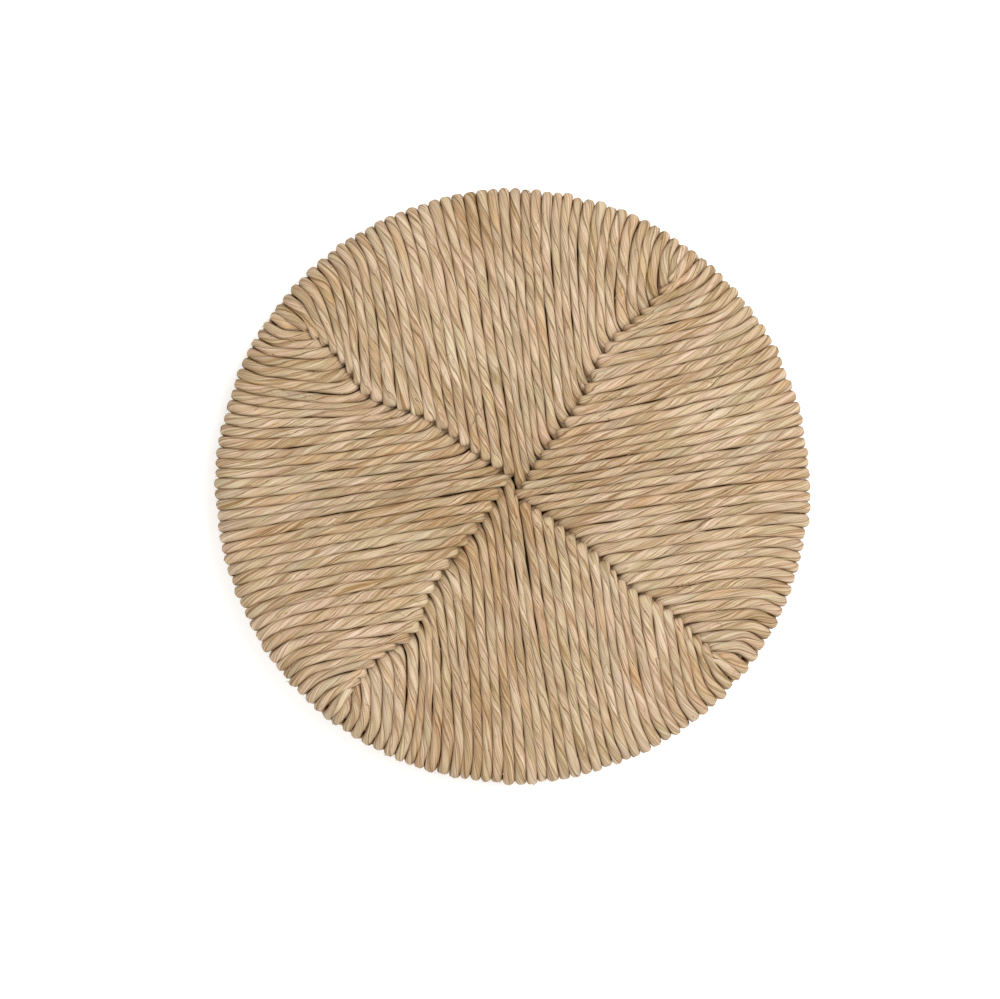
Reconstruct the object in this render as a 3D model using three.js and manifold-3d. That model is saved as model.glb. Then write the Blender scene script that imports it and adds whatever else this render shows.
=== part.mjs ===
// A round rush-woven seat pad: a pegged ring of four beech rails on four turned feet, stuffed with dry
// rush and wound with one twisted rush cord, whose four courses meet in mitre seams on the diagonals.
// Millimetres, +Z up, front at -Y. The origin is the centre of the plane that the feet stand on.

import * as THREE from 'three';
import { mergeVertices } from 'three/addons/utils/BufferGeometryUtils.js';
import Module from 'manifold-3d';

const wasm = await Module();
wasm.setup();

// Driving dimensions
const SEAT_RADIUS = 175;
const CORD = 6.7;
const GAP = 0.3;
const RAIL_OUTER = SEAT_RADIUS - CORD - GAP;
const RAIL_WIDTH = 26;
const RAIL_HEIGHT = 22;
const RAIL_ROUNDING = 6;
const RUSH_BOTTOM = 2;
const TOP_CROWN = 5;
const UNDERSIDE_HOLLOW = 5;
const CENTRE_EYE = 5;
const LAP_HALF = 18;
const PEG_RADIUS = 3;
const PEG_OFFSET = 11.5;
const FOOT_RADIUS = 10;
const SPIGOT_RADIUS = 5;
const SPIGOT_HEIGHT = 17;
const TACK_LENGTH = 10;
const TACK_ANGLE = 160;
const KNOT = { length: 13, width: 9, height: 4.6 };

const RAIL_INNER = RAIL_OUTER - RAIL_WIDTH;
const RAIL_MIDDLE = RAIL_OUTER - RAIL_WIDTH / 2;
const RAIL_BOTTOM = RUSH_BOTTOM + CORD + GAP;
const RAIL_TOP = RAIL_BOTTOM + RAIL_HEIGHT;
const RUSH_TOP = RAIL_TOP + GAP + CORD;
const WRAP_BEND = RAIL_ROUNDING + GAP + CORD;
const SHOULDER = SEAT_RADIUS - WRAP_BEND;
const UNDER_EDGE = RAIL_INNER + RAIL_ROUNDING;

// How finely curves are faceted
const RING_STEPS = 48;
const CORNER_STEPS = 3;
const LAYER_STEPS = 5;
const ROUND_STEPS = 16;
const FOOT_STEPS = 32;
const REACH = 400;

const SIDES = [
  { name: 'right', turn: 0 },
  { name: 'back', turn: 90 },
  { name: 'left', turn: 180 },
  { name: 'front', turn: 270 },
];
const CORNERS = [
  { name: 'back_right', turn: 45 },
  { name: 'back_left', turn: 135 },
  { name: 'front_left', turn: 225 },
  { name: 'front_right', turn: 315 },
];

const BEECH = new THREE.MeshStandardMaterial({ color: 0xc9a06c, roughness: 0.6, metalness: 0 });
const PALE_BEECH = new THREE.MeshStandardMaterial({ color: 0xd8b686, roughness: 0.65, metalness: 0 });
const RUSH = new THREE.MeshStandardMaterial({ color: 0xc8ae82, roughness: 0.85, metalness: 0 });
const DRY_RUSH = new THREE.MeshStandardMaterial({ color: 0xa88e5c, roughness: 0.95, metalness: 0 });
const STEEL = new THREE.MeshStandardMaterial({ color: 0x8c8f94, roughness: 0.35, metalness: 1 });

const radians = THREE.MathUtils.degToRad;

// Turns a closed three.js geometry into a solid that can be cut and joined.
function solidOf(geometry) {
  const bare = geometry.clone();
  bare.deleteAttribute('normal');
  bare.deleteAttribute('uv');
  const merged = mergeVertices(bare, 1e-4);
  const corners = merged.index.array;
  const kept = [];
  for (let i = 0; i < corners.length; i += 3) {
    const [a, b, c] = corners.slice(i, i + 3);
    if (a !== b && b !== c && c !== a) {
      kept.push(a, b, c);
    }
  }
  const vertProperties = new Float32Array(merged.attributes.position.array);
  return new wasm.Manifold(new wasm.Mesh({ numProp: 3, vertProperties, triVerts: new Uint32Array(kept) }));
}

// Turns a solid back into a three.js geometry.
function geometryOf(solid) {
  const mesh = solid.getMesh();
  const geometry = new THREE.BufferGeometry();
  geometry.setAttribute('position', new THREE.BufferAttribute(mesh.vertProperties, 3));
  geometry.setIndex(new THREE.BufferAttribute(mesh.triVerts, 1));
  geometry.computeVertexNormals();
  return geometry;
}

// A body of revolution about Z. Its profile is a list of [radius, z] that runs up its outer side.
function turned(profile, steps) {
  const points = profile.map(([radius, z]) => new THREE.Vector2(radius, z));
  return new THREE.LatheGeometry(points, steps).rotateX(Math.PI / 2);
}

// A ring of revolution, whose profile is closed by going back to its first point.
function turnedRing(profile, steps) {
  return turned([...profile, profile[0]], steps);
}

function pin(radius, bottom, top, steps = ROUND_STEPS) {
  return turned([[0, bottom], [radius, bottom], [radius, top], [0, top]], steps);
}

// A quarter of a circle as [radius, z] points, from one angle to the next 90 degrees on.
function quarter(r, z, bend, startDegrees, direction = 1) {
  const points = [];
  for (let i = 0; i <= CORNER_STEPS; i++) {
    const angle = radians(startDegrees + (direction * 90 * i) / CORNER_STEPS);
    points.push([r + bend * Math.cos(angle), z + bend * Math.sin(angle)]);
  }
  return points;
}

// The block of one quadrant, facing +X between the two diagonals, set in from each by its own distance.
function quadrantBlock(fromClockwise, fromAnticlockwise, far = REACH) {
  const along = REACH - fromClockwise;
  const across = far - fromAnticlockwise;
  const block = new THREE.BoxGeometry(along, across, REACH * 2);
  block.translate(fromClockwise + along / 2, -fromAnticlockwise - across / 2, 0);
  return solidOf(block.rotateZ(Math.PI / 4));
}

// How far a layer has left the rail's level, from 0 at the edge where it leaves the rail to 1 at its fullest.
function swell(radius, edge) {
  const inward = Math.max(0, 0.85 * (1 - radius / edge));
  return 4 * inward * (1 - inward);
}

const topHeight = (radius) => RUSH_TOP + TOP_CROWN * swell(radius, SHOULDER);
const undersideHeight = (radius) => RUSH_BOTTOM + UNDERSIDE_HOLLOW * swell(radius, UNDER_EDGE);

// The points of a layer's surface from one radius to another, moved up or down by an offset.
function layer(height, from, to, offset) {
  const points = [];
  for (let i = 0; i <= LAYER_STEPS; i++) {
    const radius = from + ((to - from) * i) / LAYER_STEPS;
    points.push([radius, height(radius) + offset]);
  }
  return points;
}

// The rails: a ring with all its edges rounded, cut into four arcs that lap each other on the diagonals.
function ringSolid() {
  const b = RAIL_ROUNDING;
  return solidOf(turnedRing([
    ...quarter(RAIL_INNER + b, RAIL_BOTTOM + b, b, 180),
    ...quarter(RAIL_OUTER - b, RAIL_BOTTOM + b, b, 270),
    ...quarter(RAIL_OUTER - b, RAIL_TOP - b, b, 0),
    ...quarter(RAIL_INNER + b, RAIL_TOP - b, b, 90),
  ], RING_STEPS));
}

// A block that covers the ring over a stretch of its length, measured at the rail's middle from a diagonal.
function lapBlock(turn, from, to, bottom, top) {
  const block = new THREE.BoxGeometry(RAIL_WIDTH * 2, to - from, top - bottom);
  block.translate(RAIL_MIDDLE, (from + to) / 2, (top + bottom) / 2);
  return solidOf(block.rotateZ(radians(turn)));
}

function atCorner(geometry, turn, along = 0) {
  return geometry.translate(RAIL_MIDDLE, along, 0).rotateZ(radians(turn));
}

function railSolid() {
  const middle = (RAIL_BOTTOM + RAIL_TOP) / 2;
  let rail = ringSolid().intersect(quadrantBlock(-LAP_HALF, -LAP_HALF));
  rail = rail.subtract(lapBlock(-45, -LAP_HALF * 2, LAP_HALF + GAP, middle - GAP / 2, REACH));
  rail = rail.subtract(lapBlock(45, -LAP_HALF - GAP, LAP_HALF * 2, -REACH, middle + GAP / 2));
  for (const turn of [-45, 45]) {
    for (const along of [-PEG_OFFSET, PEG_OFFSET]) {
      rail = rail.subtract(solidOf(atCorner(pin(PEG_RADIUS + GAP, -REACH, REACH), turn, along)));
    }
    const socketTop = RAIL_BOTTOM + SPIGOT_HEIGHT + GAP;
    rail = rail.subtract(solidOf(atCorner(pin(SPIGOT_RADIUS + GAP, -REACH, socketTop), turn)));
  }
  return rail;
}

function pegGeometry() {
  const ease = 0.8;
  const bottom = RAIL_BOTTOM + GAP;
  const top = RAIL_TOP - GAP;
  return turned([
    [0, bottom],
    [PEG_RADIUS - ease, bottom],
    [PEG_RADIUS, bottom + ease],
    [PEG_RADIUS, top - ease],
    [PEG_RADIUS - ease, top],
    [0, top],
  ], ROUND_STEPS);
}

// A foot: a short boss with an eased lower edge, and its spigot, which stands in the joint above it.
function footGeometry() {
  const ease = 1.2;
  const bossTop = RAIL_BOTTOM - GAP;
  const spigotTop = RAIL_BOTTOM + SPIGOT_HEIGHT;
  return turned([
    [0, 0],
    [FOOT_RADIUS - ease, 0],
    [FOOT_RADIUS, ease],
    [FOOT_RADIUS, bossTop],
    [SPIGOT_RADIUS, bossTop],
    [SPIGOT_RADIUS, spigotTop - ease],
    [SPIGOT_RADIUS - ease, spigotTop],
    [0, spigotTop],
  ], FOOT_STEPS);
}

// The rush of one quadrant: top layer, wrap round the rail and underside layer in one C-shaped shell.
function shellSolid() {
  const innerBend = RAIL_ROUNDING + GAP;
  return solidOf(turnedRing([
    ...layer(undersideHeight, CENTRE_EYE, UNDER_EDGE, 0),
    ...quarter(SHOULDER, RUSH_BOTTOM + WRAP_BEND, WRAP_BEND, 270),
    ...quarter(SHOULDER, RUSH_TOP - WRAP_BEND, WRAP_BEND, 0),
    ...layer(topHeight, SHOULDER, CENTRE_EYE, 0).slice(1),
    ...layer(topHeight, CENTRE_EYE, SHOULDER, -CORD),
    ...quarter(SHOULDER, RUSH_TOP - WRAP_BEND, innerBend, 90, -1).slice(1),
    ...quarter(SHOULDER, RUSH_BOTTOM + WRAP_BEND, innerBend, 0, -1),
    ...layer(undersideHeight, UNDER_EDGE, CENTRE_EYE, CORD),
  ], RING_STEPS));
}

// Everything between the two layers inside the rails, drawn in from each surface by a clearance.
function pocketSolid(clearance, inner, outer) {
  return solidOf(turnedRing([
    ...layer(undersideHeight, inner, outer, CORD + clearance),
    ...layer(topHeight, outer, inner, -CORD - clearance),
  ], RING_STEPS));
}

// Along the anticlockwise seam of each quadrant, cords rise from the underside to the top and form a wall.
function courseSolid() {
  const edge = GAP / 2;
  const wall = pocketSolid(-GAP, CENTRE_EYE, RAIL_INNER - GAP)
    .intersect(quadrantBlock(edge, edge, edge + CORD));
  let course = shellSolid().intersect(quadrantBlock(edge, edge)).add(wall);
  for (const turn of [-45, 45]) {
    const roundFoot = pin(FOOT_RADIUS + GAP, -REACH, RAIL_BOTTOM, FOOT_STEPS);
    course = course.subtract(solidOf(atCorner(roundFoot, turn)));
  }
  return course;
}

function stuffingSolid() {
  return pocketSolid(GAP, CENTRE_EYE + CORD, RAIL_INNER - GAP * 6)
    .intersect(quadrantBlock(GAP * 2, CORD + GAP * 2));
}

// An upholstery tack that points outwards, with its flat head against the rail's inner face.
function tackGeometry(clearance) {
  const headRadius = 2.6;
  const headHeight = 0.8;
  const shank = 0.9 + clearance;
  const end = TACK_LENGTH + clearance;
  return turned([
    [0, -headHeight],
    [headRadius, -headHeight],
    [headRadius, 0],
    [shank, 0],
    [shank, end * 0.6],
    [0, end],
  ], ROUND_STEPS);
}

function placeTack(geometry) {
  const height = (RAIL_BOTTOM + RAIL_TOP) / 2;
  return geometry.rotateY(Math.PI / 2).translate(RAIL_INNER - GAP, 0, height).rotateZ(radians(TACK_ANGLE));
}

// A flattened knot, laid lengthwise along the cords that it joins, just under the underside layer.
function knotGeometry(radius, turn) {
  const { length, width, height } = KNOT;
  const knot = new THREE.SphereGeometry(0.5, 12, 6).scale(length, width, height);
  const z = undersideHeight(radius) - GAP - height / 2;
  return geometryOf(solidOf(knot.translate(radius, 0, z).rotateZ(radians(turn))));
}

const seat = new THREE.Group();

function add(name, geometry, material, turn = 0) {
  const mesh = new THREE.Mesh(geometry, material);
  mesh.name = name;
  mesh.rotation.z = radians(turn);
  seat.add(mesh);
}

const rail = railSolid();
const tackHole = solidOf(placeTack(tackGeometry(GAP)));
const course = geometryOf(courseSolid());
const stuffing = geometryOf(stuffingSolid());

for (const { name, turn } of SIDES) {
  const turnedRail = rail.rotate([0, 0, turn]);
  add(`rail_${name}`, geometryOf(name === 'left' ? turnedRail.subtract(tackHole) : turnedRail), BEECH);
  add(`stuffing_${name}`, stuffing, DRY_RUSH, turn);
  add(`rush_${name}`, course, RUSH, turn);
}

for (const { name, turn } of CORNERS) {
  add(`foot_${name}`, footGeometry().translate(RAIL_MIDDLE, 0, 0), PALE_BEECH, turn);
  for (const [number, along] of [[1, -PEG_OFFSET], [2, PEG_OFFSET]]) {
    add(`peg_${name}_${number}`, pegGeometry().translate(RAIL_MIDDLE, along, 0), PALE_BEECH, turn);
  }
}

add('start_tack', placeTack(tackGeometry(0)), STEEL);

const JOIN_KNOTS = [
  { radius: 96, turn: 12 },
  { radius: 78, turn: 106 },
  { radius: 104, turn: 187 },
  { radius: 62, turn: 262 },
];
JOIN_KNOTS.forEach(({ radius, turn }, i) => add(`join_knot_${i + 1}`, knotGeometry(radius, turn), RUSH));
add('finish_knot', knotGeometry(14, 40), RUSH);

export default seat;
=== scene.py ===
"""The looks of a round rush seat pad: twisted rush cord wound in four quadrants over a pegged beech ring.

The cord is built wrap by wrap. Each wrap starts inside the seat at a seam on the top, runs out to the rim,
goes round the rail and runs back under it to the same seam on the underside.
"""

import math

import bpy
import numpy as np
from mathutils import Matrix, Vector


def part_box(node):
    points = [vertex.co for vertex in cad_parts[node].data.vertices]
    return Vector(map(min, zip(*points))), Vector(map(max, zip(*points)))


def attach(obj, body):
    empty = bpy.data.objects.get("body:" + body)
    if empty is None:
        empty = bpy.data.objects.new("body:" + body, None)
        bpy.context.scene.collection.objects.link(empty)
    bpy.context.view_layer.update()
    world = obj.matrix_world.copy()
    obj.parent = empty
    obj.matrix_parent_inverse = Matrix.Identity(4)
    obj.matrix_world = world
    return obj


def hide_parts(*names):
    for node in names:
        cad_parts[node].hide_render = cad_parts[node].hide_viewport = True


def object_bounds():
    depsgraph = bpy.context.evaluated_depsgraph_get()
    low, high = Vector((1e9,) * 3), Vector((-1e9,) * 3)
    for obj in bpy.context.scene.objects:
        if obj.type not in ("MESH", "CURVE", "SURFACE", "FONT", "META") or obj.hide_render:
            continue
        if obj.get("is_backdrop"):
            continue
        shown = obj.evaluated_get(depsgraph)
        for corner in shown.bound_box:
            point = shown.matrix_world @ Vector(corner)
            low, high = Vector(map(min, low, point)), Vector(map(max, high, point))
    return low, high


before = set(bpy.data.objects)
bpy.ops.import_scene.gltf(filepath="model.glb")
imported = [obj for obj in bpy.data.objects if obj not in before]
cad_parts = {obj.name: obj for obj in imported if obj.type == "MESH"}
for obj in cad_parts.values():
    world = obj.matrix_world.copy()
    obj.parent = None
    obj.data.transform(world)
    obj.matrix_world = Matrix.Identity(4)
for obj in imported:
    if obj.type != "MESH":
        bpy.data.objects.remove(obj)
cad_low, cad_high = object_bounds()

MM = 0.001
rng = np.random.default_rng(2024)

# ---------------------------------------------------------------- sizes, all read from the frame

rail_low, rail_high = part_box("rail_back")
rush_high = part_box("rush_back")[1]
foot_low, foot_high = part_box("foot_back_right")

SEAT_RADIUS = rush_high.y
RAIL_OUTER = rail_high.y
RAIL_TOP = rail_high.z
RAIL_BOTTOM = rail_low.z
FOOT_CENTRE = math.hypot(foot_low.x + foot_high.x, foot_low.y + foot_high.y) / 2
FOOT_RADIUS = (foot_high.x - foot_low.x) / 2
RAIL_INNER = 2 * FOOT_CENTRE - RAIL_OUTER
RAIL_ROUNDING = 6 * MM
GAP = 0.3 * MM
CORD = SEAT_RADIUS - RAIL_OUTER - GAP
TOP_CROWN = rush_high.z - (RAIL_TOP + GAP + CORD)
UNDERSIDE_HOLLOW = 5 * MM

BEND = RAIL_ROUNDING + GAP + CORD / 2
SHOULDER = RAIL_OUTER - RAIL_ROUNDING
UNDER_EDGE = RAIL_INNER + RAIL_ROUNDING

# ---------------------------------------------------------------- the weave

ROUNDS = 20
CORDS = 2 * ROUNDS
SIDES = {"right": 0, "back": 90, "left": 180, "front": 270}
# Wraps in one mesh.
PER_PIECE = 5
# How much the wraps' widths vary along a seam and along the rim.
SEAM_SPREAD = 0.11
RIM_SPREAD = 0.10
# The share of the wraps that show a join, where a new leaf was twisted in.
JOINED_SHARE = 0.12
# How far a quadrant's first and last wraps shift out into the corners.
END_SHIFT = 0.6 * MM
SEAM_START = {"top": SHOULDER - 1 * MM, "under": RAIL_INNER - 5 * MM}

# Each seam follows its diagonal, with one place where it bows sideways. Corners are counted anticlockwise
# from the back right one: how far it bows (positive is anticlockwise), where along the seam, and how long the
# bow is.
SEAM_BOWS = [
    (8.2 * MM, 99 * MM, 27 * MM),
    (11.5 * MM, 99 * MM, 25 * MM),
    (8.5 * MM, 102 * MM, 18 * MM),
    (-3.5 * MM, 88 * MM, 14 * MM),
]
# How far from the centre the innermost pair of cords crosses at each seam.
SEAM_END = [4.0 * MM, 6.0 * MM, 0.5 * MM, 4.0 * MM]
# The crossings lie clockwise of the seam that shows, because the upper cords' ends cover them.
SEAM_TUCK = 2.3 * MM
# The four seams turn a little clockwise where they meet.
CENTRE_TURN = 2.5 * MM
TURN_REACH = 16 * MM
# How far round each corner has crept from its diagonal at the rim, in degrees, and where along the seam the
# creep sets in.
CORNER_CREEP = [1.2, 1.5, 0.0, -1.5]
CREEP_START = 110 * MM
CREEP_LENGTH = 50 * MM
# The length in which a lower cord bends before it slips under its partner, corner by corner, and the slope
# that it comes to.
UNDER_BENDS = [11 * MM, 12 * MM, 12 * MM, 6.5 * MM]
UNDER_SLOPE = 0.6
# The seams lie lower than the crown between them, within this distance and by this share of its height.
SEAM_DRAW = 17 * MM
SEAM_SHARE = 0.35
# The length of run from which a cord follows its quadrant's direction, and not just its shortest way.
SETTLED = 70 * MM
# Half of a wrap's width as a share of the way to its neighbours, how much less it is where the cords lie
# looser round the centre, and its limits.
HALF_SHARE = 0.545
LOOSER = 0.035
NARROWEST = 2.4 * MM
WIDEST = 4.8 * MM

RUN_POINTS = 60
# The spacing of the rings along a cord, in its middle and near its folded ends, and how far the ends reach.
STEP = 2.0 * MM
FINE_STEP = 0.7 * MM
FINE_REACH = 16 * MM
# The radius of an upper cord's fold at a seam.
FOLD = 1.1 * MM
# How square a cord's cross-section is: 1 is an ellipse, and smaller is squarer.
LAID = 0.69
ROUND_THE_RIM = 0.86
FOLDED = 0.42
# Where the mesh points lie across each leaf, from the edge that is tucked under its neighbour to the edge
# that laps over the next.
LEAF_POINTS = np.array([0.0, 0.07, 0.28, 0.54, 0.80, 0.975])

# ---------------------------------------------------------------- the picture

# The seat's width as a share of the picture's, the camera's roll in degrees, and how far the picture's middle
# lies from the seat's, as shares of the picture's width: to the right and up.
SEAT_IN_PICTURE = 0.5943
ROLL = -7
AIM = (-0.01275, -0.0132)
CAMERA_DISTANCE = 1.6


def unit(v):
    return v / np.linalg.norm(v, axis=-1, keepdims=True)


def smooth(x):
    x = np.clip(x, 0, 1)
    return x * x * (3 - 2 * x)


def polar(angle):
    return np.array([math.cos(angle), math.sin(angle)])


def distances(points):
    """How far along a polyline each of its points lies."""
    return np.concatenate([[0], np.cumsum(np.linalg.norm(np.diff(points, axis=0), axis=1))])


def waves(amplitude, *lengths):
    """A smooth random function of distance: one sine for each wavelength."""
    phases = rng.uniform(0, 2 * math.pi, len(lengths))
    gains = rng.normal(0, 1, len(lengths))
    gains *= amplitude * math.sqrt(2) / max(np.linalg.norm(gains), 1e-9)

    def value(s):
        return sum(g * np.sin(2 * math.pi * s / w + p) for g, w, p in zip(gains, lengths, phases))

    return value


def shares(count, spread):
    """Cumulative middles, from 0 to 1, of a row of cords whose widths differ by chance."""
    widths = np.clip(rng.normal(1, spread, count), 1 - 2 * spread, 1 + 2 * spread)
    edges = np.concatenate([[0], np.cumsum(widths)]) / widths.sum()
    return (edges[1:] + edges[:-1]) / 2


def seam_side(corner, along):
    """How far a seam's crossings lie to the anticlockwise side of its diagonal."""
    bow, centre, length = SEAM_BOWS[corner]
    creep = math.radians(CORNER_CREEP[corner]) * along
    bowed = bow * np.exp(-(((along - centre) / length) ** 2))
    bowed += creep * smooth((along - CREEP_START) / CREEP_LENGTH)
    return bowed - SEAM_TUCK - CENTRE_TURN * np.exp(-((along / TURN_REACH) ** 2))


def seam_frame(corner):
    """The directions along a corner's diagonal and to its anticlockwise side."""
    angle = math.radians(45 + 90 * corner)
    return polar(angle), polar(angle + math.pi / 2)


def seam_point(corner, along):
    outward, sideways = seam_frame(corner)
    return outward * along + sideways * seam_side(corner, along)


def seam_distance(xy):
    """How far points on the seat are from the nearest seam."""
    nearest = np.full(xy.shape[:-1], 1.0)
    for corner in range(4):
        outward, sideways = seam_frame(corner)
        along = xy @ outward
        aside = np.abs(xy @ sideways - seam_side(corner, along))
        nearest = np.where(along > 0, np.minimum(nearest, aside), nearest)
    return nearest


def swell(radius, edge):
    """0 at the edge, rising to 1 three fifths of the way in and sinking to a half at the centre."""
    inward = np.maximum(0, 0.85 * (1 - radius / edge))
    return 4 * inward * (1 - inward)


def top_height(xy):
    """Height of the middle of a top cord: crowned by the stuffing, and drawn down towards the seams."""
    radius = np.linalg.norm(xy, axis=-1)
    drawn = np.exp(-((seam_distance(xy) / SEAM_DRAW) ** 2))
    crown = TOP_CROWN * swell(radius, SHOULDER) * (1 - SEAM_SHARE * drawn)
    return RAIL_TOP + GAP + CORD / 2 + crown


def under_height(xy):
    radius = np.linalg.norm(xy, axis=-1)
    return RAIL_BOTTOM - GAP - CORD / 2 + UNDERSIDE_HOLLOW * swell(radius, UNDER_EDGE)


def bezier(points, t):
    a, b, c, d = points
    t = t[:, None]
    return a * (1 - t) ** 3 + 3 * b * t * (1 - t) ** 2 + 3 * c * t * t * (1 - t) + d * t**3


def over_rail(along):
    """1 where a seam still lies on the rail, so that nothing can go down there, and 0 inside the rail."""
    return smooth((along - (RAIL_INNER - 6 * MM)) / (14 * MM))


def push_from_foot(offset, half):
    """Moves a cord away from the foot at the corner. Lengths are along the rim; half is half a quadrant."""
    clear = FOOT_RADIUS + NARROWEST
    crowding = 1.5
    return (offset**crowding + clear**crowding * (1 - offset / half)) ** (1 / crowding)


class Wrap:
    """One wrap of cord: its corner, its place there and its route."""

    def __init__(self, side, number):
        self.over = number >= ROUNDS
        self.round = number if not self.over else CORDS - 1 - number
        turn = SIDES[side]
        self.corner = (turn // 90 + (0 if self.over else 3)) % 4
        self.inward = -polar(math.radians(turn))
        self.angles = {}
        self.along = {}
        self.run = {}
        self.end_direction = {}
        self.half_width = {}


def rim_angles(side, middles):
    """The angle of each wrap on the rim, from the clockwise corner to the anticlockwise one."""
    turn = SIDES[side]
    start = turn - 45 + CORNER_CREEP[(turn // 90 + 3) % 4]
    stop = turn + 45 + CORNER_CREEP[(turn // 90) % 4]
    return np.radians(start + (stop - start) * middles)


def plan_wraps():
    """All the wraps, side by side, with their routes and widths in plan."""
    wraps = {}
    crossings = {}
    for layer in ("top", "under"):
        for corner in range(4):
            start, end = SEAM_START[layer], SEAM_END[corner]
            rounds = shares(ROUNDS, SEAM_SPREAD) * ROUNDS + 0.5
            crossings[layer, corner] = start + (end - start) * rounds / ROUNDS
    for side, turn in SIDES.items():
        row = [Wrap(side, number) for number in range(CORDS)]
        angles = rim_angles(side, shares(CORDS, RIM_SPREAD))
        angles[[0, -1]] += np.array([-END_SHIFT, END_SHIFT]) / SHOULDER
        first, last = rim_angles(side, np.array([0.0, 1.0]))
        middle = (first + last) / 2
        half = (last - first) / 2 * SHOULDER
        for wrap, angle in zip(row, angles):
            from_corner = half - abs(angle - middle) * SHOULDER
            pushed = half - push_from_foot(max(from_corner, 0), half)
            wrap.angles["top"] = angle
            wrap.angles["under"] = middle + math.copysign(pushed / SHOULDER, angle - middle)
            for layer in ("top", "under"):
                wrap.along[layer] = crossings[layer, wrap.corner][wrap.round]
                plan_run(wrap, layer)
        for layer in ("top", "under"):
            set_widths(row, layer)
        wraps[side] = row
    return wraps


def plan_run(wrap, layer):
    """The route in plan, from the rail's shoulder to where the wrap crosses its partner at the seam."""
    outward = polar(wrap.angles[layer])
    start = outward * SHOULDER
    crossing = seam_point(wrap.corner, wrap.along[layer])
    chord = crossing - start
    length = np.linalg.norm(chord)
    # Short cords beside a corner run almost straight, and the others turn the way of their quadrant.
    settled = smooth(length / SETTLED)
    direction = unit(unit(chord) + 0.8 * settled * wrap.inward)
    if wrap.over:
        goal = crossing
        end = direction
    else:
        # The last stretch bends towards the seam before it slips under its partner.
        bend = UNDER_BENDS[wrap.corner] * (0.4 + 0.6 * smooth(wrap.along[layer] / (35 * MM)))
        bend = min(bend, 0.33 * length)
        towards = np.array([-direction[1], direction[0]])
        if towards @ seam_frame(wrap.corner)[1] > 0:
            towards = -towards
        slope = UNDER_SLOPE * (0.15 + 0.85 * settled)
        goal = crossing - direction * bend - towards * bend * slope / 2
        part = np.linspace(0, 1, 13)[1:, None] * bend
        turned = goal + direction * part + towards * part**2 * slope / (2 * bend)
        end = unit(direction + towards * slope)
    length = np.linalg.norm(goal - start)
    hold = min(0.30 * length, 30 * MM)
    # A cord leaves the rim between the radial direction and its quadrant's. A long one keeps to that longer.
    leaving = unit(outward - (0.8 - 0.4 * settled) * wrap.inward)
    leave = start - leaving * (0.08 + 0.14 * settled) * length
    route = bezier([start, leave, goal - direction * hold, goal], np.linspace(0, 1, RUN_POINTS))
    if not wrap.over:
        route = np.concatenate([route, turned])
    gone = distances(route)
    even = np.linspace(0, gone[-1], RUN_POINTS)
    route = np.stack([np.interp(even, gone, column) for column in route.T], 1)
    t = even / gone[-1]
    aside = unit(np.stack([-np.gradient(route[:, 1]), np.gradient(route[:, 0])], 1))
    # A slow wobble that dies out at both ends.
    looseness = (0.25 if layer == "top" else 0.45) * MM
    wobble = waves(looseness, 38 * MM, 61 * MM, 97 * MM)(even) * smooth(t * 4) * smooth((1 - t) * 5)
    wrap.run[layer] = route + aside * wobble[:, None]
    wrap.end_direction[layer] = end


def distance_to(points, line):
    """The distance from each point to a polyline."""
    a, b = line[:-1], line[1:]
    d = b - a
    rel = points[:, None, :] - a[None]
    t = np.clip((rel * d).sum(-1) / np.maximum((d * d).sum(-1), 1e-12), 0, 1)
    return np.linalg.norm(rel - t[..., None] * d, axis=-1).min(1)


def set_widths(row, layer):
    """Half of each wrap's width: half of the way to its neighbours, all along."""
    for i, wrap in enumerate(row):
        beside = [row[k] for k in (i - 1, i + 1) if 0 <= k < CORDS]
        near = np.stack([distance_to(wrap.run[layer], other.run[layer]) for other in beside])
        room = np.minimum(near.mean(0), near.min(0) * 1.1)
        kernel = np.ones(7) / 7
        room = np.convolve(np.pad(room, 3, mode="edge"), kernel, mode="valid")
        radius = np.linalg.norm(wrap.run[layer], axis=1)
        loose = smooth((radius - 6 * MM) / (16 * MM)) * np.exp(-((radius / (50 * MM)) ** 2))
        wrap.half_width[layer] = np.clip(room * (HALF_SHARE - LOOSER * loose), NARROWEST, WIDEST)


def tail(wrap, layer, start, direction, out):
    """The hidden end of a wrap past its crossing.

    An upper cord folds down, and a lower one slips under its partner.
    """
    on_rail = over_rail(wrap.along[layer]) if layer == "top" else 0.0
    points, normals = [], []
    if wrap.over:
        depth = (11 * (1 - on_rail) + 0.8 * on_rail) * MM
        for angle in np.linspace(0, math.pi / 2, 6)[1:]:
            flat = start[:2] + direction * FOLD * math.sin(angle)
            points.append([*flat, start[2] - out * FOLD * (1 - math.cos(angle))])
            normals.append([*(direction * math.sin(angle)), out * math.cos(angle)])
        for drop in np.linspace(0, depth, 5)[1:]:
            points.append([*flat, points[4][2] - out * drop])
            normals.append([*direction, 0])
    else:
        reach = (9 * (1 - on_rail) + 4 * on_rail) * MM
        for part in np.linspace(0, 1, 6)[1:]:
            flat = start[:2] + direction * reach * part
            points.append([*flat, start[2] - out * 3 * MM * part**2 * (1 - on_rail)])
            normals.append([0, 0, out])
    return np.array(points), np.array(normals)


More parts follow.
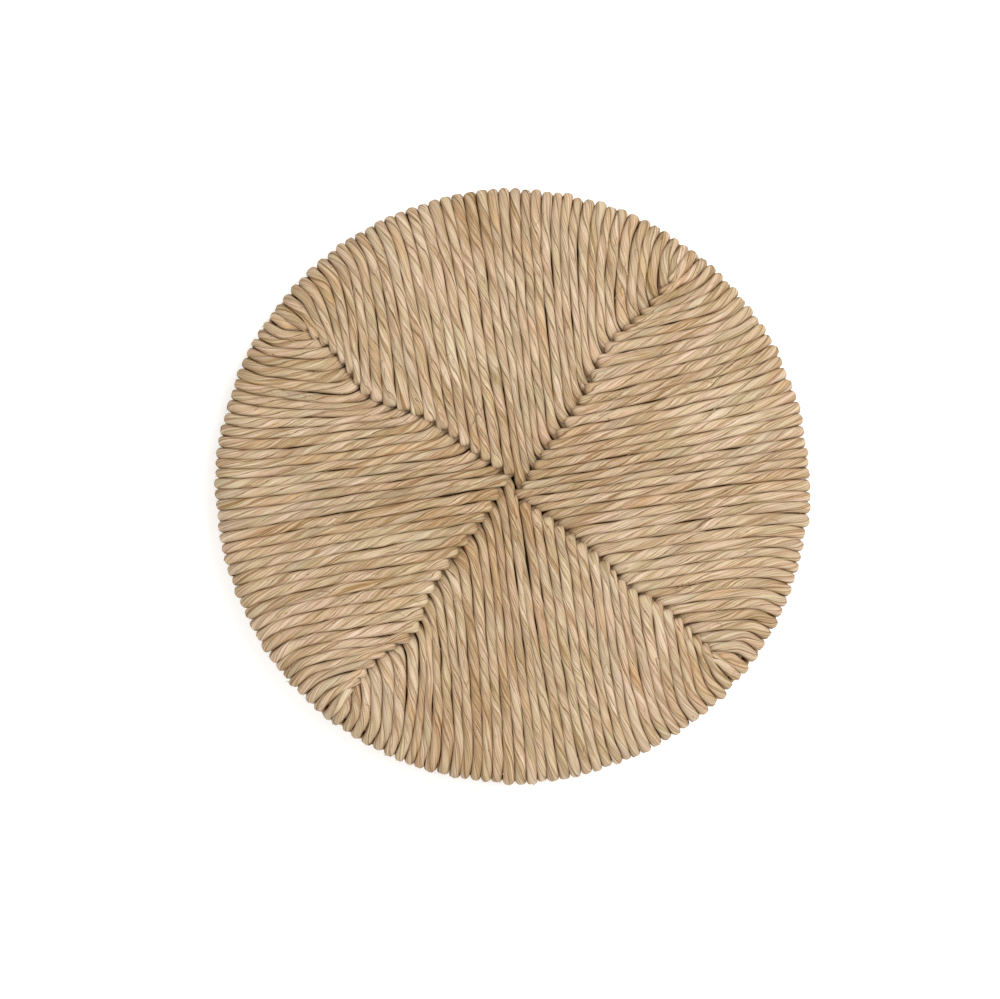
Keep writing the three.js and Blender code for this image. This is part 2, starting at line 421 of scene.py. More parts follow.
def run_in_space(wrap, layer):
    """One layer's run in three dimensions, from shoulder to tail: points, outward normals and cross-sections.

    A cross-section is half a width, half a height and a squareness.
    """
    xy = wrap.run[layer]
    out = 1.0 if layer == "top" else -1.0
    height = top_height(xy) if layer == "top" else under_height(xy)
    to_crossing = np.linalg.norm(xy - xy[-1], axis=1)
    on_rail = over_rail(wrap.along[layer]) if layer == "top" else 0.0
    half_width = wrap.half_width[layer]
    half_height = CORD / 2 * (3.2 * MM / half_width) ** 0.35
    from_shoulder = smooth(np.linalg.norm(xy - xy[0], axis=1) / (14 * MM))
    squareness = ROUND_THE_RIM + (LAID - ROUND_THE_RIM) * from_shoulder
    near_end = np.exp(-((to_crossing / (5 * MM)) ** 2))
    if wrap.over:
        rise = (0.9 * (1 - on_rail) + 2.5 * on_rail) * MM
        lift = rise * np.exp(-((to_crossing / (10 * MM)) ** 2))
        keep = to_crossing > 0.1 * MM
        half_height = half_height + (2.1 * MM - half_height) * near_end
        half_width = half_width * (1 + 0.05 * near_end)
        squareness = squareness + (FOLDED - squareness) * near_end
    else:
        dip = (4.9 * (1 - on_rail) + 1.0 * on_rail) * MM
        lift = -dip * smooth((6.5 * MM - to_crossing) / (5.7 * MM))
        half_height = half_height * (1 - 0.3 * on_rail * np.exp(-((to_crossing / (8 * MM)) ** 2)))
        keep = to_crossing > -1
    sway = waves(0.28 * MM, 31 * MM, 53 * MM, 88 * MM)(to_crossing) * smooth(to_crossing / (12 * MM))
    keep[0] = True
    points = np.column_stack([xy, height + out * (lift + sway)])[keep]
    section = np.column_stack([half_width, half_height, squareness])[keep]
    normals = np.tile([0, 0, out], (len(points), 1))
    more, more_normals = tail(wrap, layer, points[-1], wrap.end_direction[layer], out)
    points = np.concatenate([points, more])
    normals = np.concatenate([normals, more_normals])
    shrink = np.linspace(1, 0.9, len(more))[:, None] * [1, 1, 0] + [0, 0, 1]
    section = np.concatenate([section, section[-1] * shrink])
    return points, normals, section


def rim_in_space(wrap, proud):
    """The stretch round the outside of the rail, from the top shoulder to the lower one."""
    turns = np.radians([12, 27, 42, 57, 72, 86])
    upper = RAIL_TOP - RAIL_ROUNDING
    lower = RAIL_BOTTOM + RAIL_ROUNDING
    bend = BEND + proud
    profile = [(SHOULDER + bend * math.sin(a), upper + bend * math.cos(a), a) for a in turns]
    profile += [(SHOULDER + bend, z, math.pi / 2) for z in np.linspace(upper - 1 * MM, lower + 1 * MM, 5)]
    profile += [(SHOULDER + bend * math.sin(a), lower - bend * math.cos(a), math.pi - a) for a in turns[::-1]]
    radius, z, tip = np.array(profile).T
    share = smooth((lower + 2 * MM - z) / (2 * MM + BEND))
    angle = wrap.angles["top"] * (1 - share) + wrap.angles["under"] * share
    points = np.column_stack([radius * np.cos(angle), radius * np.sin(angle), z])
    normals = np.column_stack([np.cos(angle) * np.sin(tip), np.sin(angle) * np.sin(tip), np.cos(tip)])
    return points, normals


def full_route(wrap):
    """All of a wrap's route as points, outward normals and cross-sections."""
    proud = float(np.clip(rng.normal(0, 0.4), -0.7, 1.0)) * MM
    top, top_normals, top_section = run_in_space(wrap, "top")
    under, under_normals, under_section = run_in_space(wrap, "under")
    rim, rim_normals = rim_in_space(wrap, proud)
    part = np.linspace(0, 1, len(rim))
    widths = top_section[0, 0] * (1 - part) + under_section[0, 0] * part
    rim_section = np.column_stack([widths, np.full(len(rim), CORD / 2), np.full(len(rim), ROUND_THE_RIM)])
    points = np.concatenate([top[::-1], rim, under])
    normals = np.concatenate([top_normals[::-1], rim_normals, under_normals])
    sections = np.concatenate([top_section[::-1], rim_section, under_section])
    return points, normals, sections


def resample(points, *others):
    """Even steps along a route, closer together in the tight folds at its two ends."""
    gone = distances(points)
    total = gone[-1]
    ends = np.arange(0, FINE_REACH, FINE_STEP)
    count = max(2, int((total - 2 * FINE_REACH) / STEP))
    middle = np.linspace(FINE_REACH, total - FINE_REACH, count)
    stations = np.concatenate([ends, middle, total - ends[::-1]])
    return stations, *[
        np.stack([np.interp(stations, gone, column) for column in np.atleast_2d(o.T)], -1)
        for o in (points, *others)
    ]


def soften(values, times):
    for _ in range(times):
        inner = values[:-2] * 0.25 + values[1:-1] * 0.5 + values[2:] * 0.25
        values = np.concatenate([values[:1], inner, values[-1:]])
    return values


class Cord:
    """The twisted make-up of one wrap: flat leaves wound round each other, each with its own tone."""

    def __init__(self):
        self.leaves = int(rng.choice([3, 3, 3, 4, 4]))
        self.shares = [waves(0.2, 58 * MM, 91 * MM, 130 * MM) for _ in range(self.leaves)]
        self.base = np.clip(rng.normal(1, 0.25, self.leaves), 0.55, 1.5)
        self.lap = rng.uniform(0.07, 0.18, self.leaves)
        self.bulge = rng.uniform(0.00, 0.05, self.leaves)
        self.swells = [waves(0.03, 23 * MM, 41 * MM, 67 * MM) for _ in range(self.leaves)]
        self.tones = np.clip(rng.normal(0.5, 0.2, self.leaves), 0, 1)
        self.hues = rng.uniform(0, 1, self.leaves)
        self.pitch = rng.uniform(52, 76) * MM
        self.phase = rng.uniform(0, 2 * math.pi)
        self.sway = waves(0.25, 90 * MM, 150 * MM)
        self.tone = float(np.clip(rng.normal(0.5, 0.16), 0.05, 0.95))
        self.offset = float(rng.uniform(0, 90))
        self.fat = waves(0.025, 29 * MM, 47 * MM)

    def edges(self, stations):
        """Where each leaf starts and how much of the way round it covers, at each station."""
        widths = np.stack([b * np.maximum(0.3, 1 + w(stations)) for b, w in zip(self.base, self.shares)], 1)
        widths /= widths.sum(1, keepdims=True)
        starts = np.cumsum(widths, 1) - widths
        return starts, widths


def sweep(cord, stations, points, normals, widths, heights, squareness):
    """The cord's surface: rings of points that turn with the twist, so that mesh lines follow the leaves."""
    tangents = unit(np.gradient(points, axis=0))
    normals = normals - tangents * (normals * tangents).sum(1, keepdims=True)
    normals = unit(normals)
    sideways = np.cross(tangents, normals)
    starts, spans = cord.edges(stations)
    within = np.tile(LEAF_POINTS, cord.leaves)
    leaf = np.repeat(np.arange(cord.leaves), len(LEAF_POINTS))
    part = starts[:, leaf] + spans[:, leaf] * within
    lapped = 1 - cord.lap[leaf] * (1 - within) ** 1.3 + cord.bulge[leaf] * np.sin(np.pi * within)
    lapped -= 0.05 * smooth((within - 0.8) / 0.2)
    puff = np.stack([cord.swells[k](stations) for k in range(cord.leaves)], 1)[:, leaf]
    size = (lapped[None] + puff) * (1.03 + cord.fat(stations))[:, None]
    twist = cord.phase + 2 * math.pi * stations / cord.pitch + cord.sway(stations)
    angle = 2 * math.pi * part + twist[:, None]
    c, s = np.cos(angle), np.sin(angle)
    x = np.sign(c) * np.abs(c) ** squareness * widths * size
    y = np.sign(s) * np.abs(s) ** squareness * heights * size
    shell = points[:, None] + x[..., None] * sideways[:, None] + y[..., None] * normals[:, None]
    fibre = np.empty(shell.shape)
    fibre[..., 0] = 21 * spans[:, leaf] * within
    fibre[..., 1] = (cord.offset + 7.3 * leaf)[None]
    fibre[..., 2] = (stations / (10 * MM))[:, None] + cord.offset
    ones = np.ones(len(stations))[:, None]
    values = {
        "tone": ones * (0.5 * cord.tone + 0.5 * cord.tones[leaf])[None],
        "hue": ones * cord.hues[leaf][None],
        # Painted shade in the lap where each leaf is tucked under its neighbour: 1 at that edge, 0 from 7 %
        # in.
        "lap_shade": ones * np.maximum(0, 1 - within / 0.07)[None],
        # Painted shade on the cord's sides and back: 0 on its crest, nearly 1 on its sides and 1 on its back.
        "flank_shade": 1 - smooth((s + 0.1) / 0.9),
    }
    return shell, fibre, values


def sliver(start, along, away, length, lift, curl, thick):
    """A loose splinter of leaf: a thin tapered sliver that starts on a cord and lifts off it."""
    rings, around = 7, 5
    t = np.linspace(0, 1, rings)[:, None]
    aside = np.cross(along, away)
    path = start + along * length * t + away * lift * t**2 + aside * curl * t**2
    tangents = unit(np.gradient(path, axis=0))
    across = unit(np.cross(tangents, away))
    up = np.cross(across, tangents)
    turn = 2 * math.pi * np.arange(around) / around
    wide = thick * (1 - 0.85 * t)
    shell = path[:, None] + np.cos(turn)[None, :, None] * (across * wide)[:, None]
    shell += np.sin(turn)[None, :, None] * (up * wide * 0.45)[:, None]
    fibre = np.empty(shell.shape)
    fibre[..., 0] = 2 * np.cos(turn)[None]
    fibre[..., 1] = rng.uniform(0, 90)
    fibre[..., 2] = t * length / (10 * MM)
    flat = np.ones(shell.shape[:2])
    tone, hue = rng.uniform(-0.5, 1.1), rng.uniform(0, 1)
    return shell, fibre, {"tone": flat * tone, "hue": flat * hue, "lap_shade": flat * 0, "flank_shade": flat * 0}


def splinters(points, normals, count, gathered=False):
    """Loose slivers along a cord: here and there, or gathered where a new leaf was twisted in."""
    found = []
    tangents = unit(np.gradient(points, axis=0))
    # They keep off the cord's folded ends, where this many rings stay bare.
    ends, join_ends = 24, 30
    join = rng.uniform(join_ends, len(points) - join_ends)
    for _ in range(count):
        i = int(join + rng.normal(0, 1.2)) if gathered else int(rng.integers(ends, len(points) - ends))
        way = int(rng.choice([-1, 1]))
        along = tangents[i] * way
        straight = normals[i] @ normals[i + 8 * way] > 0.97
        away = unit(normals[i] - tangents[i] * (normals[i] @ tangents[i]))
        aside = np.cross(along, away)
        start = points[i] + away * CORD * 0.42 + aside * rng.uniform(-1.5, 1.5) * MM
        along = unit(along + aside * rng.normal(0, 0.3))
        length = (rng.uniform(5, 14) if straight else rng.uniform(2, 4)) * MM
        lift = rng.uniform(0.2, 1.3) * MM
        curl = rng.normal(0, 2.0) * MM
        found.append(sliver(start, along, away, length, lift, curl, rng.uniform(0.22, 0.5) * MM))
    return found


def add_mesh(name, vertices, faces, vector_layers=None, value_layers=None):
    mesh = bpy.data.meshes.new(name)
    mesh.from_pydata(vertices, [], faces)
    for key, value in (vector_layers or {}).items():
        layer = mesh.attributes.new(key, "FLOAT_VECTOR", "POINT")
        layer.data.foreach_set("vector", np.asarray(value, np.float32).ravel())
    for key, value in (value_layers or {}).items():
        layer = mesh.attributes.new(key, "FLOAT", "POINT")
        layer.data.foreach_set("value", np.asarray(value, np.float32).ravel())
    mesh.polygons.foreach_set("use_smooth", np.ones(len(mesh.polygons), bool))
    mesh.update()
    piece = bpy.data.objects.new(name, mesh)
    bpy.context.scene.collection.objects.link(piece)
    return piece


def tube_faces(rings, around, first):
    """Quads of a closed tube of rings, with a cap at each end."""
    ring = np.arange(rings - 1)[:, None] * around
    k = np.arange(around)[None]
    after = (k + 1) % around
    quads = np.stack([ring + k, ring + after, ring + after + around, ring + k + around], -1).reshape(-1, 4)
    faces = (quads + first).tolist()
    faces.append(list(range(first + around - 1, first - 1, -1)))
    last = first + (rings - 1) * around
    faces.append(list(range(last, last + around)))
    return faces


def cord_piece(name, swept):
    """One mesh of several swept cords."""
    vertices, fibres, faces = [], [], []
    values = {"tone": [], "hue": [], "lap_shade": [], "flank_shade": []}
    first = 0
    for shell, fibre, value in swept:
        rings, around = shell.shape[:2]
        vertices.append(shell.reshape(-1, 3))
        fibres.append(fibre.reshape(-1, 3))
        for key in values:
            values[key].append(value[key].ravel())
        faces += tube_faces(rings, around, first)
        first += rings * around
    values = {key: np.concatenate(value) for key, value in values.items()}
    return add_mesh(name, np.concatenate(vertices), faces, {"fibre": np.concatenate(fibres)}, values)


def tied_knot(radius, turn):
    """An overhand knot with two short tails, lying against the underside layer."""
    size = np.array([5.0, 3.6, 1.0]) * MM
    strand = 1.35 * MM
    opening = 0.45
    t = math.pi / 3 + np.linspace(opening, 2 * math.pi - opening, 70)
    trefoil = [np.sin(t) + 2 * np.sin(2 * t), np.cos(t) - 2 * np.cos(2 * t), -np.sin(3 * t)]
    loop = np.stack(trefoil, 1) / [2.8, 2.8, 1] * size
    first = unit(loop[0] - loop[1])
    last = unit(loop[-1] - loop[-2])
    reach = np.linspace(1.2, 8.5, 8)[:, None] * MM
    settle = np.array([0, 0, 1.0]) * (reach / (9 * MM)) ** 2 * 1.2 * MM
    path = np.concatenate([(loop[0] + first * reach + settle)[::-1], loop, loop[-1] + last * reach + settle])
    path = soften(path, 3)
    place = polar(turn) * radius
    lowest = under_height(place) - CORD / 2 - GAP - size[2] - strand
    c, s = math.cos(turn), math.sin(turn)
    x = path[:, 0] * c - path[:, 1] * s + place[0]
    y = path[:, 0] * s + path[:, 1] * c + place[1]
    points = np.column_stack([x, y, path[:, 2] + lowest])
    normals = np.tile([0, 0, -1.0], (len(points), 1))
    gone = distances(points)
    taper = np.clip(np.minimum(gone, gone[-1] - gone) / (4 * MM), 0.35, 1)[:, None]
    ones = np.ones((len(points), 1))
    cord = Cord()
    cord.pitch = 22 * MM
    return sweep(cord, gone, points, normals, strand * taper, strand * taper, 0.9 * ones)


def stuffing_pad(name, turn):
    """A crowned wad of dry rush that fills one quadrant's pocket, with stray leaves lying across it."""
    rows, columns = 34, 40
    radius = np.linspace(0.05 * MM, RAIL_INNER - 2 * MM, rows)[:, None]
    inset = np.minimum(7.5 * MM, 0.04 * radius + 1.8 * radius**2 / (100 * MM))
    share = np.linspace(-1, 1, columns)[None]
    angle = math.radians(turn) + share * (math.pi / 4 - np.arcsin(inset / radius))
    # The four wads lean on each other round the centre, so that no light comes through between them.
    lean = 0.5 * np.exp(-((radius / (8 * MM)) ** 2))
    xy, top_xy, bottom_xy = (
        np.stack([radius * np.cos(a), radius * np.sin(a)], -1) for a in (angle, angle + lean, angle - lean)
    )
    drawn = np.exp(-((seam_distance(xy) / (14 * MM)) ** 2))
    high = top_height(xy) - CORD / 2 - 0.8 * MM - 6.5 * MM * drawn
    low = under_height(xy) + CORD / 2 + 0.8 * MM + 6.5 * MM * drawn
    end = np.linspace(-1, 1, rows)[:, None]
    full = (1 - np.abs(share) ** 8) ** 0.5 * (1 - np.abs(end) ** 10) ** 0.5
    middle = (high + low) / 2
    lump = waves(0.6 * MM, 17 * MM, 29 * MM)(xy[..., 0]) + waves(0.6 * MM, 13 * MM, 23 * MM)(xy[..., 1])
    top = middle + (high - middle) * full - np.abs(lump) * full
    bottom = middle + (low - middle) * full + np.abs(lump) * full
    count = rows * columns
    vertices = np.concatenate([np.dstack([top_xy, top]), np.dstack([bottom_xy, bottom])]).reshape(-1, 3)
    index = np.arange(count).reshape(rows, columns)
    quads = np.stack([index[:-1, :-1], index[1:, :-1], index[1:, 1:], index[:-1, 1:]], -1).reshape(-1, 4)
    rim = np.concatenate([index[0, :-1], index[:-1, -1], index[-1, :0:-1], index[:0:-1, 0]])
    around = np.stack([rim, np.roll(rim, -1), np.roll(rim, -1) + count, rim + count], -1)
    faces = quads.tolist() + (quads[:, ::-1] + count).tolist() + around.tolist()
    first = len(vertices)
    extra = []
    for _ in range(90):
        i, k = int(rng.integers(3, rows - 3)), int(rng.integers(3, columns - 3))
        up = rng.choice([-1, 1])
        start = np.array([*xy[i, k], top[i, k] if up > 0 else bottom[i, k]])
        heading = rng.uniform(0, 2 * math.pi)
        along = np.array([math.cos(heading), math.sin(heading), 0])
        away = np.array([0, 0, float(up)])
        length, curl = rng.uniform(8, 22) * MM, rng.normal(0, 3) * MM
        extra.append(sliver(start, along, away, length, 0.2 * MM, curl, 0.9 * MM))
    for shell, _, _ in extra:
        faces += tube_faces(*shell.shape[:2], first)
        first += shell.shape[0] * shell.shape[1]
    vertices = np.concatenate([vertices] + [shell.reshape(-1, 3) for shell, _, _ in extra])
    return add_mesh(name, vertices, faces)


# ---------------------------------------------------------------- materials


class Nodes:
    """A material's node tree, with one call for each new node."""

    def __init__(self, name, roughness, specular):
        self.material = bpy.data.materials.new(name)
        self.material.use_nodes = True
        self.tree = self.material.node_tree
        self.shader = self.tree.nodes["Principled BSDF"]
        self.shader.inputs["Roughness"].default_value = roughness
        self.shader.inputs["Specular IOR Level"].default_value = specular

    def add(self, kind, inputs=None, **settings):
        node = self.tree.nodes.new(kind)
        for key, value in settings.items():
            setattr(node, key, value)
        for key, value in (inputs or {}).items():
            if isinstance(value, bpy.types.NodeSocket):
                self.tree.links.new(value, node.inputs[key])
            else:
                node.inputs[key].default_value = value
        return node

    def attribute(self, name, output="Fac"):
        return self.add("ShaderNodeAttribute", attribute_name=name).outputs[output]

    def scaled(self, vector, scale):
        return self.add("ShaderNodeMapping", {"Vector": vector, "Scale": scale}).outputs["Vector"]

    def noise(self, vector, scale, detail=3.0, roughness=0.55):
        inputs = {"Vector": vector, "Scale": scale, "Detail": detail, "Roughness": roughness}
        return self.add("ShaderNodeTexNoise", inputs).outputs["Fac"]

    def math(self, operation, first, second=0.0):
        return self.add("ShaderNodeMath", {0: first, 1: second}, operation=operation).outputs[0]

    def swing(self, value, gain):
        """A value about 0.5 turned into one about 0, times a gain."""
        return self.math("MULTIPLY", self.math("SUBTRACT", value, 0.5), gain)

    def line(self, value, width, strength):
        """Thin lines where a noise passes through its middle."""
        away = self.math("ABSOLUTE", self.math("SUBTRACT", value, 0.5))
        return self.remap(away, 0.0, width, strength, 0.0)

    def remap(self, value, low, high, to_low=0.0, to_high=1.0):
        inputs = {"Value": value, "From Min": low, "From Max": high, "To Min": to_low, "To Max": to_high}
        return self.add("ShaderNodeMapRange", inputs).outputs["Result"]

    def ramp(self, value, stops):
        node = self.add("ShaderNodeValToRGB", {"Fac": value})
        elements = node.color_ramp.elements
        while len(elements) < len(stops):
            elements.new(0.5)
        for element, (position, colour) in zip(elements, stops):
            element.position = position
            element.color = (*colour, 1)
        return node.outputs["Color"]

    def blend(self, factor, first, second, mode="MIX"):
        node = self.add("ShaderNodeMix", data_type="RGBA", blend_type=mode)
        for index, value in ((0, factor), (6, first), (7, second)):
            if isinstance(value, bpy.types.NodeSocket):
                self.tree.links.new(value, node.inputs[index])
            else:
                node.inputs[index].default_value = value
        return node.outputs[2]

    def bump(self, height, strength, distance, under=None):
        inputs = {"Height": height, "Strength": strength, "Distance": distance}
        if under is not None:
            inputs["Normal"] = under
        return self.add("ShaderNodeBump", inputs).outputs["Normal"]

    def finish(self, colour, normal=None, roughness=None):
        self.tree.links.new(colour, self.shader.inputs["Base Color"])
        if normal is not None:
            self.tree.links.new(normal, self.shader.inputs["Normal"])
        if roughness is not None:
            self.tree.links.new(roughness, self.shader.inputs["Roughness"])
        return self.material


def rush_material():
    """Dry twisted rush, streaked along its leaves, with green-grey and orange patches and painted shade in
    creases.

    The attribute fibre runs across a leaf, from leaf to leaf and along the cord. Tone and hue are the leaf's
    own. Two attributes carry painted shade: one is 1 in the lap where a leaf is tucked under its neighbour,
    and the other is 1 on a cord's back and less on its sides.
    """
    n = Nodes("rush_cord", 0.7, 0.12)
    fibre = n.attribute("fibre", "Vector")
    tone = n.attribute("tone")
    hue = n.attribute("hue")
    lap_shade = n.attribute("lap_shade")
    flank_shade = n.attribute("flank_shade")
    place = n.add("ShaderNodeTexCoord").outputs["Object"]
    middle = n.add("ShaderNodeVectorMath", {0: place}, operation="LENGTH").outputs["Value"]
    hair = n.noise(n.scaled(fibre, (1.15, 1, 0.15)), 1.0, 4.0, 0.92)
    vein = n.noise(n.scaled(fibre, (0.4, 1, 0.12)), 1.0, 2.0)
    # The next three noises place painted shade: thin lines and small splits between the leaves' strands.
    edge = n.noise(n.scaled(fibre, (0.55, 1.3, 0.07)), 1.0, 1.0)
    crack_shade = n.noise(n.scaled(fibre, (0.9, 2.1, 0.10)), 1.0, 1.0)
    split = n.noise(n.scaled(fibre, (1.5, 1.7, 0.16)), 1.0, 2.0)
    patch = n.noise(n.scaled(fibre, (0.16, 1, 0.35)), 1.0, 2.0)
    spot = n.noise(n.scaled(fibre, (0.5, 1, 0.8)), 1.0, 3.0, 0.6)
    blush = n.noise(n.scaled(fibre, (0.3, 1, 0.3)), 1.0, 2.0)
    stain = n.noise(place, 15.0, 2.0)
    moss = n.noise(place, 24.0, 1.0)
    # How pale the rush is: streaks, the leaf's own tone, wide stains, and a slight darkening towards the
    # centre.
    light = n.remap(middle, 20 * MM, 90 * MM, 0.40, 0.53)
    for value, gain in ((hair, 2.85), (vein, 0.8), (tone, 0.45), (stain, 0.55)):
        light = n.math("ADD", light, n.swing(value, gain))
    colour = n.ramp(light, [
        (0.00, (0.184, 0.091, 0.022)),
        (0.25, (0.322, 0.211, 0.106)),
        (0.50, (0.442, 0.325, 0.204)),
        (0.75, (0.524, 0.405, 0.278)),
        (1.00, (0.608, 0.494, 0.366)),
    ])
    grey = n.math("MULTIPLY", n.remap(hue, 0.6, 1.0), n.remap(patch, 0.42, 0.62, 0.1, 0.65))
    colour = n.blend(grey, colour, (0.340, 0.285, 0.195, 1))
    warm = n.math("MULTIPLY", n.remap(hue, 0.3, 0.0), n.remap(patch, 0.50, 0.66, 0.1, 0.6))
    colour = n.blend(warm, colour, (0.480, 0.275, 0.125, 1))
    green = n.math("ADD", n.remap(blush, 0.35, 0.65), n.swing(moss, 0.9))
    tint = n.blend(green, (1.030, 0.976, 1.024, 1), (0.976, 1.024, 0.966, 1))
    colour = n.blend(1.0, colour, tint, "MULTIPLY")
    # Dark marks: dark-brown spots are the rush's own colour. The rest is painted shade, in thin lines and
    # splits between the leaves' strands, on the cord's sides and back, and in the lap under each leaf's edge.
    crease_shade = (0.165, 0.082, 0.026, 1)
    for amount, dark in (
        (n.remap(spot, 0.62, 0.74, 0.0, 0.7), (0.240, 0.120, 0.050, 1)),
        (n.line(edge, 0.035, 0.62), crease_shade),
        (n.line(crack_shade, 0.028, 0.42), crease_shade),
        (n.remap(split, 0.645, 0.70, 0.0, 0.6), (0.120, 0.062, 0.024, 1)),
        (n.remap(flank_shade, 0.0, 1.0, 0.0, 0.72), (0.228, 0.110, 0.028, 1)),
        (n.remap(lap_shade, 0.0, 1.0, 0.0, 0.9), (0.135, 0.064, 0.020, 1)),
    ):
        colour = n.blend(amount, colour, dark)
    normal = n.bump(hair, 0.6, 0.4 * MM)
    normal = n.bump(vein, 0.4, 0.7 * MM, normal)
    return n.finish(colour, normal, n.remap(hair, 0.3, 0.7, 0.8, 0.6))


def stuffing_material():
    """Loose dry rush leaves, darker than the cord because no light reaches them."""
    n = Nodes("stuffing_rush", 0.9, 0.15)
    place = n.add("ShaderNodeTexCoord").outputs["Object"]
    strand = n.noise(n.scaled(place, (900, 140, 500)), 1.0, 4.0, 0.65)
    clump = n.noise(place, 90.0, 2.0)
    colour = n.ramp(strand, [
        (0.25, (0.075, 0.045, 0.020)),
        (0.55, (0.190, 0.125, 0.060)),
        (0.80, (0.340, 0.240, 0.120)),
    ])
    colour = n.blend(n.remap(clump, 0.4, 0.6, 0, 0.5), colour, (0.12, 0.09, 0.045, 1))
    return n.finish(colour, n.bump(strand, 0.8, 1.2 * MM))


def wood_material(name, pale, dark, scale):
    """Beech: straight grain with short dark flecks."""
    n = Nodes(name, 0.5, 0.35)
    place = n.add("ShaderNodeTexCoord").outputs["Object"]
    grain = n.noise(n.scaled(place, scale), 1.0, 4.0, 0.6)
    fleck = n.noise(n.scaled(place, tuple(4 * s for s in scale)), 1.0, 2.0)
    colour = n.ramp(grain, [(0.3, dark), (0.7, pale)])
    colour = n.blend(n.remap(fleck, 0.62, 0.70, 0.0, 0.6), colour, (*[0.5 * c for c in dark], 1))
    return n.finish(colour, n.bump(grain, 0.2, 0.3 * MM), n.remap(grain, 0.3, 0.7, 0.6, 0.45))


def steel_material():
    n = Nodes("tack_steel", 0.35, 0.5)
    n.shader.inputs["Metallic"].default_value = 1.0
    place = n.add("ShaderNodeTexCoord").outputs["Object"]
    brushed = n.noise(place, 2500.0, 3.0)
    colour = n.ramp(brushed, [(0.3, (0.30, 0.31, 0.33)), (0.7, (0.45, 0.46, 0.48))])
    return n.finish(colour, None, n.remap(brushed, 0.3, 0.7, 0.28, 0.5))


def paint(piece, material):
    if not piece.material_slots:
        piece.data.materials.append(material)
    for slot in piece.material_slots:
        slot.material = material


def camera_and_light():
    """A view from straight above, and soft light from above and to the right of the picture."""
    scene = bpy.context.scene
    across = 2 * SEAT_RADIUS / SEAT_IN_PICTURE
    roll = math.radians(ROLL)
    data = bpy.data.cameras.new("camera")
    data.sensor_width = 36
    data.lens = data.sensor_width * CAMERA_DISTANCE / across
    camera = bpy.data.objects.new("camera", data)
    picture_right = Vector((math.cos(roll), math.sin(roll), 0))
    picture_up = Vector((-math.sin(roll), math.cos(roll), 0))
    aim = (AIM[0] * picture_right + AIM[1] * picture_up) * across
    camera.location = aim + Vector((0, 0, 0.5 * cad_high.z + CAMERA_DISTANCE))
    camera.rotation_euler = (0, 0, roll)
    scene.collection.objects.link(camera)
    scene.camera = camera
    for name, place, size, power in (
        ("key", (1.5, 0.68, 2.02), 1.95, 62),
        ("fill", (-0.9, -0.3, 1.5), 1.6, 10),
        ("low", (0.1, -1.4, 0.5), 1.0, 4),
    ):
        light = bpy.data.lights.new(name, "AREA")
        light.size = size
        light.energy = power
        lamp = bpy.data.objects.new(name, light)
        lamp.location = place
        lamp.rotation_euler = (-Vector(place)).to_track_quat("-Z", "Y").to_euler()
        scene.collection.objects.link(lamp)
    world = bpy.data.worlds.new("studio")
    world.use_nodes = True
    world.node_tree.nodes["Background"].inputs["Color"].default_value = (1, 1, 1, 1)
    world.node_tree.nodes["Background"].inputs["Strength"].default_value = 0.75
    scene.world = world
    scene.view_settings.view_transform = "Standard"


def floor():
    """A plain pale floor just under the feet."""
    n = Nodes("floor", 0.9, 0.1)
    place = n.add("ShaderNodeTexCoord").outputs["Object"]
    colour = n.ramp(n.noise(place, 3.0), [(0.3, (0.93, 0.93, 0.925)), (0.7, (0.95, 0.95, 0.945))])
    material = n.finish(colour)
    n.tree.links.new(colour, n.shader.inputs["Emission Color"])
    n.shader.inputs["Emission Strength"].default_value = 0.16
    half = 3.0
    corners = [(-half, -half, 0), (half, -half, 0), (half, half, 0), (-half, half, 0)]
    plane = add_mesh("floor", corners, [(0, 1, 2, 3)])
    plane.location.z = cad_low.z - 0.2 * MM
    paint(plane, material)
    plane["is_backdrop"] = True


# ---------------------------------------------------------------- the object

camera_and_light()
floor()

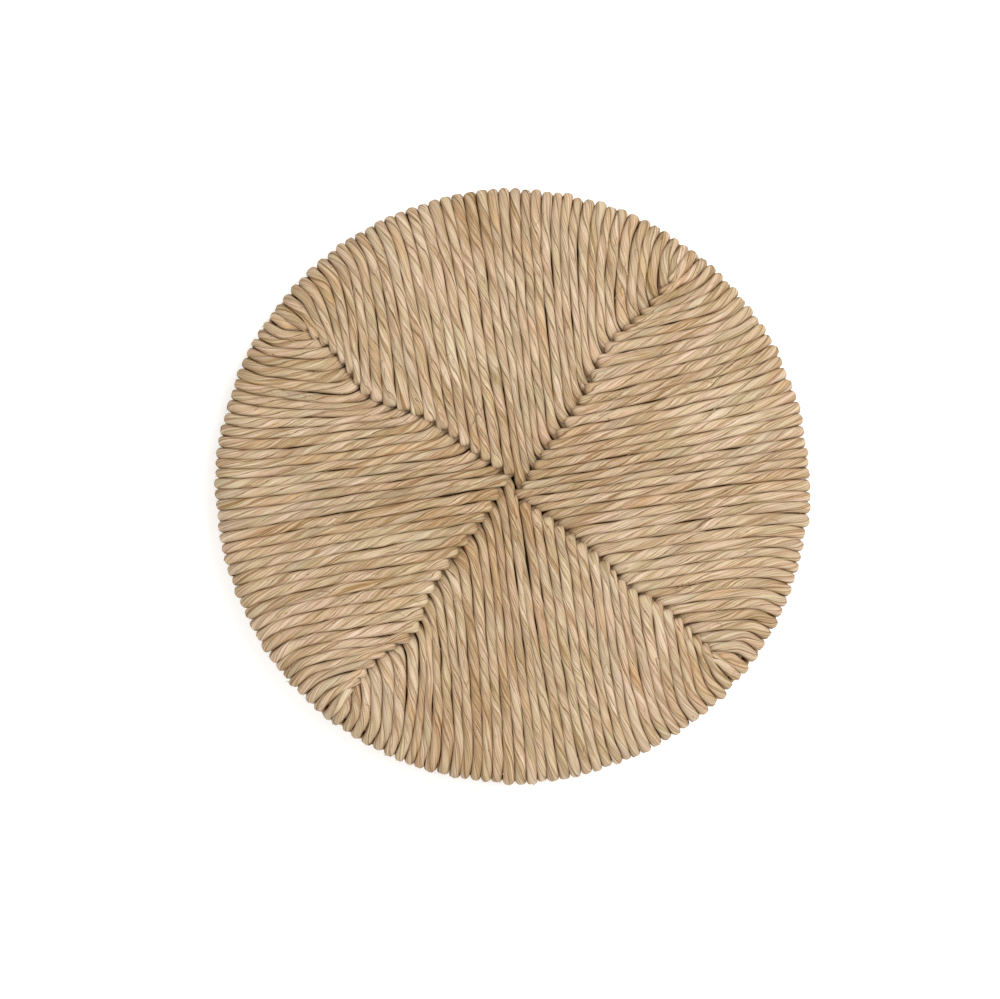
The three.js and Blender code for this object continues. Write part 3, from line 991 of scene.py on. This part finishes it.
rush = rush_material()
stuffing = stuffing_material()
wraps = plan_wraps()


def belongs(piece, material, slot, *nodes):
    """Paints a new piece, moves it with the seat, and puts it in the place of the named nodes."""
    paint(piece, material)
    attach(piece, "root")
    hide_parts(*nodes)


for side, row in wraps.items():
    for group in range(CORDS // PER_PIECE):
        swept = []
        for wrap in row[group * PER_PIECE : (group + 1) * PER_PIECE]:
            stations, points, normals, sections = resample(*full_route(wrap))
            points = soften(points, 2)
            swept.append(sweep(Cord(), stations, points, normals, *np.split(sections, 3, axis=1)))
            swept += splinters(points, normals, int(rng.integers(3, 12)))
            if rng.random() < JOINED_SHARE:
                swept += splinters(points, normals, 9, gathered=True)
        belongs(cord_piece(f"cord_{side}_{group + 1}", swept), rush, "rush_cord", f"rush_{side}")
    pad = stuffing_pad(f"pad_{side}", SIDES[side])
    belongs(pad, stuffing, "stuffing_rush", f"stuffing_{side}")

for name in [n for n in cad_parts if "_knot" in n]:
    low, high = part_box(name)
    x, y = (low.x + high.x) / 2, (low.y + high.y) / 2
    knot = cord_piece(f"tied_{name}", [tied_knot(math.hypot(x, y), math.atan2(y, x))])
    belongs(knot, rush, "rush_cord", name)

beech = {
    "x": wood_material("rail_beech_x", (0.62, 0.42, 0.23), (0.46, 0.29, 0.14), (40, 700, 700)),
    "y": wood_material("rail_beech_y", (0.62, 0.42, 0.23), (0.46, 0.29, 0.14), (700, 40, 700)),
}
peg = wood_material("peg_beech", (0.70, 0.52, 0.31), (0.55, 0.37, 0.19), (700, 700, 40))
foot = wood_material("foot_beech", (0.64, 0.45, 0.26), (0.48, 0.31, 0.16), (600, 600, 30))
steel = steel_material()
for name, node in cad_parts.items():
    kind, where = name.split("_")[:2]
    if kind == "rail":
        paint(node, beech["x" if where in ("front", "back") else "y"])
    elif kind == "peg":
        paint(node, peg)
    elif kind == "start":
        paint(node, steel)
    elif kind == "foot":
        paint(node, foot)
        bevel = node.modifiers.new("worn edge", "BEVEL")
        bevel.width = 0.7 * MM
        bevel.segments = 3

low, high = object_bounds()
